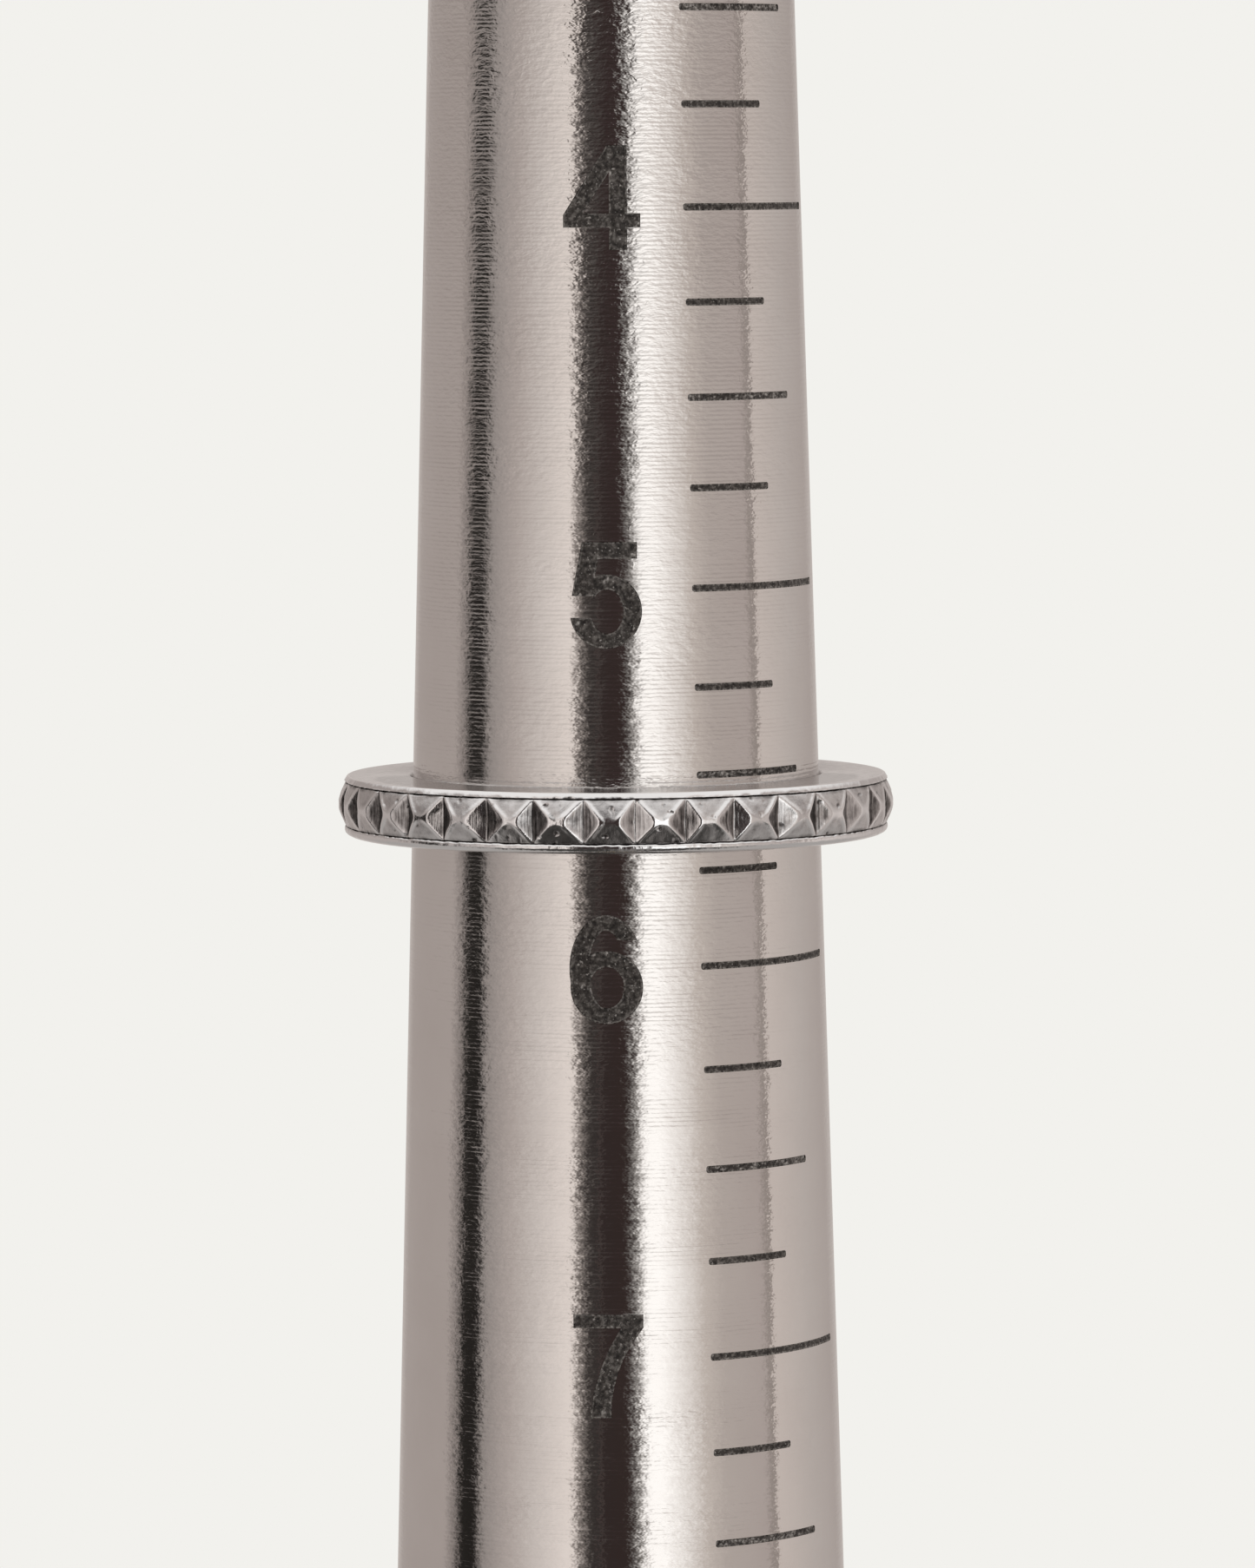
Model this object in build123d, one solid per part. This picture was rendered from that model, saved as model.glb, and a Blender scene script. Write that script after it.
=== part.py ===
from build123d import *
import math
import os

# Ring mandrel: a tapered steel ring-sizing stick in a turned wooden handle.
# It stands on its butt, narrow end up, with the size scale facing -Y. Millimetres.

# ---- Ring sizes (US scale) ----
SIZE_ZERO_BORE = 11.633          # inside diameter of a size 0 ring
BORE_PER_SIZE = 0.8128           # growth of the inside diameter per whole size
FIRST_SIZE = 1
LAST_SIZE = 15
QUARTERS = 4                     # marked steps per whole size
SIZE_PITCH = 15.0                # blade length per whole size

# ---- Blade ----
LAST_SIZE_Z = 115.0              # height of the size 15 line
SHOULDER_Z = 105.0               # big end of the blade, seated on the ferrule
TIP_Z = 337.0                    # narrow end of the blade
TIP_CHAMFER = 0.9
CENTRE_MOUTH_RADIUS = 1.6        # 60 degree lathe centre in the tip
CENTRE_PILOT_RADIUS = 0.65
CENTRE_PILOT_DEPTH = 5.0
TANG_RADIUS = 6.0
TANG_END_Z = 30.0
TANG_CHAMFER = 1.2

# ---- Engraved marks ----
POCKET_DEPTH = 0.10              # depth of the engraving below the blade surface
MARK_SINK = 0.04                 # the dark fill ends this far below the surface
LINE_WIDTH = 0.28
LINE_END_ROUND = 0.10
LINE_START = 20.9                # degrees from -Y towards +X, at size 3
LINE_START_PER_SIZE = 0.9
WHOLE_LENGTH = 7.6
HALF_LENGTH = 5.4
QUARTER_LENGTH = 3.83
# Lines and numerals of this stick that were engraved a little above (+) or below (-) their place
LINE_WANDER = {
    4: -0.23, 4.25: -0.16, 4.5: -0.10, 4.75: 0.14, 5.25: -0.10,
    5.5: 0.24, 5.75: 0.27, 6: 0.29, 6.5: -0.15, 7.5: 0.17,
}
NUMERAL_WANDER = {4: 0.15, 5: -0.15, 6: 0.21, 7: -0.22}
NUMERAL_OFFSET = -0.42           # the numerals sit slightly left of the middle
NUMERAL_ADVANCE = 2.9            # from one numeral to the next in a two-figure size

# ---- Handle, ferrule and pin ----
FERRULE_RADIUS = 14.5
FERRULE_WALL = 1.6
FERRULE_CROWN = 1.5              # thickness of the closed front of the ferrule
FERRULE_LENGTH = 17.0
FERRULE_EDGE = 0.8               # chamfer round the front of the ferrule
BUTT_FLAT_RADIUS = 14.4
BUTT_RADIUS = 16.3
BUTT_ROUND_Z = 3.0               # height where the rounded butt meets the side
BELLY_RADIUS = 17.2
BELLY_Z = 34.0
WAIST_RADIUS = 13.1
WAIST_Z = 72.0
GROOVE_HEIGHTS = (10.0, 13.0)
GROOVE_RADIUS = 0.7
GROOVE_CENTRE_RADIUS = 17.1
TANG_BORE_RADIUS = 6.05
TANG_BORE_END_Z = 28.0
PIN_RADIUS = 1.5
PIN_Z = 95.0
PIN_EDGE = 0.25

# ---- Ring on the blade ----
RING_TOP_Z = 257.31
RING_HEIGHT = 2.40
RING_BORE_RADIUS = 8.165
RING_RIM_RADIUS = 10.78
RING_TOP_RIM = 0.20
RING_BOTTOM_RIM = 0.42
RING_CREASE_RADIUS = 10.73       # groove where the domed middle meets each rim
RING_CREST_RADIUS = 11.04
RING_EDGE = 0.08
RING_FOOT_RADIUS = 10.30         # under side of the ring, inside its bevelled lower edge
RING_FOOT_BEVEL = 0.36
NOTCH_COUNT = 34
NOTCH_START = 3.9                # degrees from -Y to the middle of one notch
NOTCH_RADIUS = 10.70             # bottom of the notches, from the axis
NOTCH_WIDTH = 1.50               # across a notch at the crest


def size_z(size):
    """Height of the line of a ring size."""
    return LAST_SIZE_Z + (LAST_SIZE - size) * SIZE_PITCH


def blade_radius(z):
    """Radius of the blade at a height: half the bore of the ring that stops there."""
    size = LAST_SIZE - (z - LAST_SIZE_Z) / SIZE_PITCH
    return (SIZE_ZERO_BORE + BORE_PER_SIZE * size) / 2


def turned(points):
    """Solid of revolution about Z from (radius, height) points, with its seam at the back."""
    outline = Polyline(*[(0, r, z) for r, z in points], close=True)
    return revolve(make_face(outline), Axis.Z)


def save(node, shape):
    shape.label = node
    export_step(shape, os.path.join("parts", node + ".step"))


# ---- Numerals: each is a flat figure about its own middle, 4.1 mm tall ----
def oval_ring(x, y, outer_x, outer_y, inner_x, inner_y):
    return Pos(x, y) * (Ellipse(outer_x, outer_y) - Ellipse(inner_x, inner_y))


def box_2d(left, low, right, high):
    return Pos((left + right) / 2, (low + high) / 2) * Rectangle(right - left, high - low)


def plate(*points):
    return make_face(Polyline(*points, close=True))


def numeral_0():
    return oval_ring(0, 0, 1.38, 2.08, 0.66, 1.46)


def numeral_1():
    flag = plate((-0.05, 2.04), (-0.95, 1.30), (-0.95, 0.72), (-0.05, 1.18))
    return box_2d(-0.08, -2.04, 0.66, 2.04) + flag


def numeral_2():
    opening = plate(
        (-1.5, 0.92), (0.2, 0.92), (0.2, 0.49), (0.475, 0.49), (1.03, 0.11), (1.03, -0.5), (-1.5, -0.5),
    )
    hook = oval_ring(0, 0.88, 1.34, 1.20, 0.62, 0.60) - opening
    slope = plate((1.03, 0.11), (0.475, 0.49), (-1.34, -1.50), (-0.22, -1.50))
    return hook + slope + box_2d(-1.34, -2.04, 1.36, -1.50)


def numeral_3():
    upper = oval_ring(-0.05, 0.98, 1.22, 1.10, 0.54, 0.54)
    lower = oval_ring(0, -0.82, 1.36, 1.24, 0.66, 0.66)
    opening = box_2d(-1.5, -0.92, -0.18, 1.02)
    return upper + lower - opening + box_2d(-0.42, -0.15, 0.20, 0.43)


def numeral_4():
    outline = plate(
        (-1.48, -1.15), (-1.48, -0.66), (0.20, 2.02), (0.97, 2.02), (0.97, -0.61),
        (1.48, -0.61), (1.48, -1.15), (0.97, -1.15), (0.97, -2.02), (0.28, -2.02), (0.28, -1.15),
    )
    counter = plate((0.28, -0.61), (0.28, 0.98), (-0.74, -0.61))
    return outline - counter


def numeral_5():
    bar = box_2d(-0.84, 1.34, 1.28, 1.99)
    stem = plate((-0.84, 1.99), (-1.24, -0.10), (-0.60, -0.10), (-0.36, 0.62), (-0.20, 1.40))
    bowl = Pos(0.07, -0.70) * (Ellipse(1.39, 1.44) - Pos(0.05, 0) * Ellipse(0.63, 0.86))
    return bar + stem + (bowl - box_2d(-1.6, -0.94, -0.40, -0.10))


def numeral_6():
    sweep = oval_ring(0, 0.04, 1.42, 2.12, 0.66, 1.52) - box_2d(0.2, -2.3, 1.6, 1.18)
    bowl = oval_ring(0.02, -0.66, 1.40, 1.42, 0.66, 0.80)
    return sweep - box_2d(-0.2, -2.3, 1.6, 0.0) + bowl


def numeral_7():
    outer = ThreePointArc((1.35, 1.49), (0.42, -0.10), (0.10, -2.02))
    inner = ThreePointArc((-0.74, -2.02), (-0.34, -0.20), (0.48, 1.49))
    slope = make_face([outer, Line((0.10, -2.02), (-0.74, -2.02)), inner, Line((0.48, 1.49), (1.35, 1.49))])
    return box_2d(-1.35, 1.49, 1.35, 2.02) + slope


def numeral_8():
    upper = oval_ring(0, 1.06, 1.24, 1.02, 0.54, 0.48)
    return upper + oval_ring(0, -0.88, 1.40, 1.20, 0.68, 0.62)


def numeral_9():
    return Rot(0, 0, 180) * numeral_6()


NUMERALS = [
    numeral_0, numeral_1, numeral_2, numeral_3, numeral_4,
    numeral_5, numeral_6, numeral_7, numeral_8, numeral_9,
]


# ---- Marks: prisms aimed at the axis, cut to a thin skin of the blade ----
def cone_skin(low_z, high_z, deepest, shallowest):
    """Skin of the blade between two depths below its surface."""
    low = blade_radius(low_z)
    high = blade_radius(high_z)
    return turned([
        (low - deepest, low_z), (low - shallowest, low_z),
        (high - shallowest, high_z), (high - deepest, high_z),
    ])


def line_prism(size, length):
    """Rounded bar through the blade's skin, centred on the middle of its line."""
    height = size_z(size) + LINE_WANDER.get(size, 0)
    radius = blade_radius(height)
    sweep = length / radius
    start = math.radians(LINE_START + LINE_START_PER_SIZE * (size - 3))
    middle = math.degrees(start + sweep / 2)
    chord = 2 * radius * math.sin(sweep / 2)
    bar = extrude(Plane.XZ * RectangleRounded(chord, LINE_WIDTH, LINE_END_ROUND), amount=2 * radius)
    return Pos(0, 0, height) * Rot(0, 0, middle) * bar


def numeral_prisms(size):
    """Prisms of the figures of one whole size, one for each figure."""
    figures = [int(figure) for figure in str(size)]
    height = size_z(size) + NUMERAL_WANDER.get(size, 0)
    prisms = []
    for place, figure in enumerate(figures):
        x = NUMERAL_OFFSET + (place - (len(figures) - 1) / 2) * NUMERAL_ADVANCE
        flat = Plane.XZ * (Pos(x, height) * NUMERALS[figure]())
        prisms.append(extrude(flat, amount=2 * blade_radius(height)))
    return prisms


def mark_pair(prism, centre_z):
    """The dark fill and the pocket that one prism makes in the blade."""
    low_z = centre_z - 3
    high_z = centre_z + 3
    fill = prism & cone_skin(low_z, high_z, POCKET_DEPTH, MARK_SINK)
    pocket = prism & cone_skin(low_z, high_z, POCKET_DEPTH, -POCKET_DEPTH)
    return fill.solids(), pocket.solids()


def make_marks():
    """Fills of the marks by node name, and all the pockets."""
    fills = {"size_numerals": [], "whole_size_lines": [], "half_size_lines": [], "quarter_size_lines": []}
    pockets = []
    for step in range((LAST_SIZE - FIRST_SIZE) * QUARTERS + 1):
        size = FIRST_SIZE + step / QUARTERS
        if step % QUARTERS == 0:
            node, length = "whole_size_lines", WHOLE_LENGTH
            for prism in numeral_prisms(round(size)):
                fill, pocket = mark_pair(prism, size_z(size))
                fills["size_numerals"] += fill
                pockets += pocket
        elif step % QUARTERS == QUARTERS // 2:
            node, length = "half_size_lines", HALF_LENGTH
        else:
            node, length = "quarter_size_lines", QUARTER_LENGTH
        fill, pocket = mark_pair(line_prism(size, length), size_z(size))
        fills[node] += fill
        pockets += pocket
    return fills, pockets


# ---- Pieces ----
def make_blade(pockets, pin_hole):
    shoulder = blade_radius(SHOULDER_Z)
    tip = blade_radius(TIP_Z)
    cone_depth = (CENTRE_MOUTH_RADIUS - CENTRE_PILOT_RADIUS) / math.tan(math.radians(30))
    blade = turned([
        (0, TANG_END_Z), (TANG_RADIUS - TANG_CHAMFER, TANG_END_Z),
        (TANG_RADIUS, TANG_END_Z + TANG_CHAMFER), (TANG_RADIUS, SHOULDER_Z), (shoulder, SHOULDER_Z),
        (blade_radius(TIP_Z - TIP_CHAMFER), TIP_Z - TIP_CHAMFER), (tip - TIP_CHAMFER, TIP_Z),
        (CENTRE_MOUTH_RADIUS, TIP_Z), (CENTRE_PILOT_RADIUS, TIP_Z - cone_depth),
        (CENTRE_PILOT_RADIUS, TIP_Z - CENTRE_PILOT_DEPTH), (0, TIP_Z - CENTRE_PILOT_DEPTH),
    ])
    return blade - pockets - pin_hole


def make_handle(pin_hole):
    seat_z = SHOULDER_Z - FERRULE_LENGTH
    seat_radius = FERRULE_RADIUS - FERRULE_WALL
    front_z = SHOULDER_Z - FERRULE_CROWN
    butt = Line((0, 0, 0), (BUTT_FLAT_RADIUS, 0, 0))
    rounding = TangentArc((BUTT_FLAT_RADIUS, 0, 0), (BUTT_RADIUS, 0, BUTT_ROUND_Z), tangent=(1, 0, 0))
    side = Spline(
        (BUTT_RADIUS, 0, BUTT_ROUND_Z), (BELLY_RADIUS, 0, BELLY_Z),
        (WAIST_RADIUS, 0, WAIST_Z), (FERRULE_RADIUS, 0, seat_z),
        tangents=((0.12, 0, 1), (0.12, 0, 1)),
    )
    edges = [
        butt,
        rounding,
        side,
        Polyline(
            (FERRULE_RADIUS, 0, seat_z), (seat_radius, 0, seat_z), (seat_radius, 0, front_z),
            (TANG_BORE_RADIUS, 0, front_z), (TANG_BORE_RADIUS, 0, TANG_BORE_END_Z),
            (0, 0, TANG_BORE_END_Z), (0, 0, 0),
        ),
    ]
    handle = revolve(make_face(edges), Axis.Z)
    for z in GROOVE_HEIGHTS:
        handle -= Pos(0, 0, z) * Torus(GROOVE_CENTRE_RADIUS, GROOVE_RADIUS)
    return handle - pin_hole


def make_ferrule(pin_hole):
    inner = FERRULE_RADIUS - FERRULE_WALL
    low = SHOULDER_Z - FERRULE_LENGTH
    under_crown = SHOULDER_Z - FERRULE_CROWN
    ferrule = turned([
        (inner, low), (FERRULE_RADIUS, low), (FERRULE_RADIUS, SHOULDER_Z - FERRULE_EDGE),
        (FERRULE_RADIUS - FERRULE_EDGE, SHOULDER_Z), (TANG_BORE_RADIUS, SHOULDER_Z),
        (TANG_BORE_RADIUS, under_crown), (inner, under_crown),
    ])
    return ferrule - pin_hole


def make_pin():
    pin = Cylinder(PIN_RADIUS, 2 * FERRULE_RADIUS, rotation=(0, 90, 0))
    pin = chamfer(pin.edges(), PIN_EDGE)
    return Pos(0, 0, PIN_Z) * pin


def make_ring():
    """Band with a domed middle between two rims, and V notches cut across the dome."""
    low = RING_TOP_Z - RING_HEIGHT
    ridge_low = low + RING_BOTTOM_RIM
    ridge_high = RING_TOP_Z - RING_TOP_RIM
    middle = (ridge_low + ridge_high) / 2
    edge_high = RING_TOP_Z - RING_EDGE
    dome = ThreePointArc(
        (0, RING_CREASE_RADIUS, ridge_low), (0, RING_CREST_RADIUS, middle),
        (0, RING_CREASE_RADIUS, ridge_high),
    )
    rims = Polyline(
        (0, RING_CREASE_RADIUS, ridge_high), (0, RING_RIM_RADIUS, ridge_high + RING_EDGE / 2),
        (0, RING_RIM_RADIUS, edge_high), (0, RING_RIM_RADIUS - RING_EDGE, RING_TOP_Z),
        (0, RING_BORE_RADIUS, RING_TOP_Z), (0, RING_BORE_RADIUS, low), (0, RING_FOOT_RADIUS, low),
        (0, RING_RIM_RADIUS, low + RING_FOOT_BEVEL), (0, RING_RIM_RADIUS, ridge_low - RING_EDGE / 2),
        (0, RING_CREASE_RADIUS, ridge_low),
    )
    band = revolve(make_face([dome, rims]), Axis.Z)
    depth = RING_CREST_RADIUS - NOTCH_RADIUS
    outline = Polyline(
        (0, -NOTCH_RADIUS), (NOTCH_WIDTH, -NOTCH_RADIUS - 2 * depth),
        (-NOTCH_WIDTH, -NOTCH_RADIUS - 2 * depth), close=True,
    )
    notch = Pos(0, 0, ridge_low) * extrude(make_face(outline), amount=ridge_high - ridge_low)
    notches = []
    for number in range(NOTCH_COUNT):
        notches.append(Rot(0, 0, NOTCH_START + number * 360 / NOTCH_COUNT) * notch)
    return band - notches


def main():
    pin_hole = Pos(0, 0, PIN_Z) * Cylinder(PIN_RADIUS, 4 * FERRULE_RADIUS, rotation=(0, 90, 0))
    fills, pockets = make_marks()
    for node, solids in fills.items():
        save(node, Compound(children=solids))
    save("blade", make_blade(pockets, pin_hole))
    save("handle", make_handle(pin_hole))
    save("ferrule", make_ferrule(pin_hole))
    save("tang_pin", make_pin())
    save("ring", make_ring())


main()
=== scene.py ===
import math
import random

import bmesh
import bpy
import numpy as np
from mathutils import Matrix, Vector, noise
from mathutils.kdtree import KDTree


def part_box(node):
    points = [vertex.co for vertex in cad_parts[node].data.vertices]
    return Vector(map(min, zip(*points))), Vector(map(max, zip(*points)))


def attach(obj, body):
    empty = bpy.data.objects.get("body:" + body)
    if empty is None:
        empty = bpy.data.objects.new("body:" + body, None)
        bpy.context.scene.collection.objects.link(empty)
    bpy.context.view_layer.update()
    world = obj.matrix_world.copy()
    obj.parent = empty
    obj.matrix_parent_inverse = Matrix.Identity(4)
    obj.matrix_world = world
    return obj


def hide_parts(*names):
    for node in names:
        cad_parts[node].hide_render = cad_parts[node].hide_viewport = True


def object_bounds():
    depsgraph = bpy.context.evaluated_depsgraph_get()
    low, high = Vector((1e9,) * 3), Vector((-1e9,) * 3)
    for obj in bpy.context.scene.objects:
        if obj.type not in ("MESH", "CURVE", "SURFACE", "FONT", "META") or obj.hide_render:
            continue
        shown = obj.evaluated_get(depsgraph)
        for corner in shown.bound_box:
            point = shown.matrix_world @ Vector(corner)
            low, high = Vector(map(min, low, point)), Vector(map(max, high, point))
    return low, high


# A ring mandrel: turned steel blade with engraved sizes, brass ferrule, wooden handle, and a
# studded silver ring seated on the blade. Metres, +Z up, the size scale faces -Y.
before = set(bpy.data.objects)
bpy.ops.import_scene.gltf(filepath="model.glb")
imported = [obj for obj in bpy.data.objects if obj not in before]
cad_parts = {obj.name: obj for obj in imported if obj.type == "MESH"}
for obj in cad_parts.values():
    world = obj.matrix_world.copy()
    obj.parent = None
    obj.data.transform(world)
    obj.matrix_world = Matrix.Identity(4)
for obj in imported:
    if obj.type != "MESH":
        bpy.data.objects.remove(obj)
cad_low, cad_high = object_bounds()

MM = 0.001
rng = random.Random(7)

# ---- Places, read from the frame ----
blade_low, blade_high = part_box("blade")
ring_low, ring_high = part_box("ring")
ferrule_low, ferrule_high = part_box("ferrule")
handle_low, handle_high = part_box("handle")
pin_low, pin_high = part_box("tang_pin")
PIN_RADIUS = (pin_high.z - pin_low.z) / 2
PIN_Z = (pin_low.z + pin_high.z) / 2
lines_low, lines_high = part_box("whole_size_lines")

FIRST_SIZE = 1
LAST_SIZE = 15
LINE_WIDTH = 0.28 * MM
SIZE_ZERO_BORE = 11.633 * MM
BORE_PER_SIZE = 0.8128 * MM
last_size_z = lines_low.z + LINE_WIDTH / 2
first_size_z = lines_high.z - LINE_WIDTH / 2
size_pitch = (first_size_z - last_size_z) / (LAST_SIZE - FIRST_SIZE)


def size_z(size):
    return last_size_z + (LAST_SIZE - size) * size_pitch


def blade_radius(z):
    size = LAST_SIZE - (z - last_size_z) / size_pitch
    return (SIZE_ZERO_BORE + BORE_PER_SIZE * size) / 2


# ---- Shader node helpers ----
class Nodes:
    """Short calls for building a node tree."""

    def __init__(self, tree):
        self.tree = tree
        tree.nodes.clear()

    def new(self, kind, **settings):
        node = self.tree.nodes.new(kind)
        for key, value in settings.items():
            setattr(node, key, value)
        return node

    def link(self, source, target):
        self.tree.links.new(source, target)

    def feed(self, target, value):
        if isinstance(value, bpy.types.NodeSocket):
            self.link(value, target)
        else:
            target.default_value = value

    def math(self, operation, a, b=0.0, clamp=False):
        node = self.new("ShaderNodeMath", operation=operation, use_clamp=clamp)
        self.feed(node.inputs[0], a)
        self.feed(node.inputs[1], b)
        return node.outputs[0]

    def stretch(self, vector, scale):
        node = self.new("ShaderNodeMapping")
        self.link(vector, node.inputs["Vector"])
        node.inputs["Scale"].default_value = scale
        return node.outputs[0]

    def noise(self, vector, scale, detail=2.0, roughness=0.5, distortion=0.0):
        node = self.new("ShaderNodeTexNoise")
        self.link(vector, node.inputs["Vector"])
        node.inputs["Scale"].default_value = scale
        node.inputs["Detail"].default_value = detail
        node.inputs["Roughness"].default_value = roughness
        node.inputs["Distortion"].default_value = distortion
        return node.outputs["Fac"]

    def grain(self, vector, scale, detail=2.0, roughness=0.5, distortion=0.0):
        return self.noise(self.stretch(vector, scale), 1.0, detail, roughness, distortion)

    def spread(self, value, low, high, to_low=0.0, to_high=1.0):
        node = self.new("ShaderNodeMapRange", clamp=True)
        self.feed(node.inputs["Value"], value)
        node.inputs["From Min"].default_value = low
        node.inputs["From Max"].default_value = high
        node.inputs["To Min"].default_value = to_low
        node.inputs["To Max"].default_value = to_high
        return node.outputs["Result"]

    def ramp(self, value, stops):
        node = self.new("ShaderNodeValToRGB")
        elements = node.color_ramp.elements
        while len(elements) < len(stops):
            elements.new(1.0)
        for element, (place, colour) in zip(elements, stops):
            element.position = place
            element.color = (*colour, 1.0)
        self.feed(node.inputs["Fac"], value)
        return node.outputs["Color"]

    def mix(self, factor, a, b, blend="MIX"):
        node = self.new("ShaderNodeMix", data_type="RGBA", blend_type=blend)
        self.feed(node.inputs["Factor"], factor)
        for socket, value in ((node.inputs[6], a), (node.inputs[7], b)):
            if isinstance(value, tuple):
                value = (*value, 1.0)
            self.feed(socket, value)
        return node.outputs[2]

    def bump(self, height, distance, normal=None):
        node = self.new("ShaderNodeBump")
        node.inputs["Strength"].default_value = 1.0
        node.inputs["Distance"].default_value = distance
        self.link(height, node.inputs["Height"])
        if normal is not None:
            self.link(normal, node.inputs["Normal"])
        return node.outputs["Normal"]

    def attribute(self, name):
        return self.new("ShaderNodeAttribute", attribute_name=name).outputs["Fac"]


def material_nodes(name, **sockets):
    """New material with one Principled shader whose fixed values are set on its own sockets."""
    material = bpy.data.materials.new(name)
    material.use_nodes = True
    nodes = Nodes(material.node_tree)
    shader = nodes.new("ShaderNodeBsdfPrincipled")
    output = nodes.new("ShaderNodeOutputMaterial")
    nodes.link(shader.outputs["BSDF"], output.inputs["Surface"])
    for key, value in sockets.items():
        shader.inputs[key.replace("_", " ")].default_value = value
    place = nodes.new("ShaderNodeTexCoord").outputs["Object"]
    return material, nodes, shader, place


# ---- Materials ----
# Noise grains are in cycles per metre along X, Y and Z; bump heights are in metres.
FEED_PITCH = 0.17 * MM
FEED_WANDER = 5.0
FEED_HEIGHT = 2.1e-6
FEED_WANDER_GRAIN = (90.0, 90.0, 900.0)
FEED_PATCH_GRAIN = (160.0, 160.0, 1100.0)
LEAN_GRAIN = (170.0, 170.0, 9000.0)
LEAN = 0.05
PEBBLE_GRAIN = (2300.0, 2300.0, 5000.0)
PEBBLE_PATCH_GRAIN = (220.0, 220.0, 500.0)
PEBBLE_HEIGHT = 1.5e-5
WORM_GRAIN = (2100.0, 2100.0, 3600.0)
WORM_HEIGHT = 2.6e-6
STEEL_LINE_GRAIN = (400.0, 400.0, 12000.0)
STEEL_LINE_HEIGHT = 4.0e-6


def turned_steel():
    """Bright lathe-turned steel: fine feed lines, a pebbly grain and a smear along the axis."""
    material, nodes, shader, place = material_nodes(
        "turned_steel", Metallic=1.0, Anisotropic=0.7, Anisotropic_Rotation=0.25
    )
    tangent = nodes.new("ShaderNodeTangent", direction_type="RADIAL", axis="Z")
    nodes.link(tangent.outputs["Tangent"], shader.inputs["Tangent"])
    cloud = nodes.noise(place, 260.0, 3.0, 0.55)
    tone = nodes.ramp(cloud, [(0.3, (0.745, 0.715, 0.695)), (0.7, (0.785, 0.76, 0.742))])
    nodes.link(tone, shader.inputs["Base Color"])
    nodes.link(nodes.spread(cloud, 0.3, 0.7, 0.065, 0.09), shader.inputs["Roughness"])

    split = nodes.new("ShaderNodeSeparateXYZ")
    nodes.link(place, split.inputs["Vector"])
    height = split.outputs["Z"]
    wander = nodes.grain(place, FEED_WANDER_GRAIN)
    turn = nodes.math("MULTIPLY", height, 2 * math.pi / FEED_PITCH)
    turn = nodes.math("ADD", turn, nodes.math("MULTIPLY", wander, FEED_WANDER))
    feed = nodes.math("SINE", turn)
    patch = nodes.spread(nodes.grain(place, FEED_PATCH_GRAIN), 0.35, 0.65)
    feed = nodes.math("MULTIPLY", feed, patch)
    # Each turn of the tool leaves its own slight lean round the blade.
    lean = nodes.grain(place, LEAN_GRAIN, roughness=0.6)
    lean = nodes.math("MULTIPLY", nodes.math("SUBTRACT", lean, 0.5), LEAN)
    shift = nodes.new("ShaderNodeVectorMath", operation="SCALE")
    nodes.link(tangent.outputs["Tangent"], shift.inputs[0])
    nodes.link(lean, shift.inputs["Scale"])
    leaning = nodes.new("ShaderNodeVectorMath", operation="ADD")
    nodes.link(nodes.new("ShaderNodeNewGeometry").outputs["Normal"], leaning.inputs[0])
    nodes.link(shift.outputs["Vector"], leaning.inputs[1])
    unit = nodes.new("ShaderNodeVectorMath", operation="NORMALIZE")
    nodes.link(leaning.outputs["Vector"], unit.inputs[0])

    # The grain grows coarser from size 5 up to size 3, then eases off towards the tip.
    pebble = nodes.grain(place, PEBBLE_GRAIN, roughness=0.6)
    coarse = nodes.spread(nodes.grain(place, PEBBLE_PATCH_GRAIN), 0.35, 0.65, 0.6, 1.3)
    near_tip = nodes.spread(height, size_z(5), size_z(3), 0.8, 1.7)
    near_tip = nodes.math("MULTIPLY", near_tip, nodes.spread(height, size_z(3), size_z(1.5), 1.0, 0.55))
    pebble = nodes.math("MULTIPLY", pebble, nodes.math("MULTIPLY", coarse, near_tip))
    worms = nodes.grain(place, WORM_GRAIN, detail=1.0, distortion=1.2)
    above = nodes.spread(height, size_z(5.5), size_z(3.5), 0.15, 1.0)
    above = nodes.math("MULTIPLY", above, nodes.spread(height, size_z(3), size_z(1.5), 1.0, 0.5))
    worms = nodes.math("MULTIPLY", nodes.spread(worms, 0.54, 0.68), above)
    lines = nodes.grain(place, STEEL_LINE_GRAIN, roughness=0.6)
    normal = nodes.bump(feed, FEED_HEIGHT, unit.outputs["Vector"])
    normal = nodes.bump(pebble, PEBBLE_HEIGHT, normal)
    normal = nodes.bump(worms, WORM_HEIGHT, normal)
    normal = nodes.bump(lines, STEEL_LINE_HEIGHT, normal)
    nodes.link(normal, shader.inputs["Normal"])
    return material


CRUST_GRAIN = 5600.0
FLECK_GRAIN = 9000.0
CRUST_BUMP_HEIGHT = 4.0e-5


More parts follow.
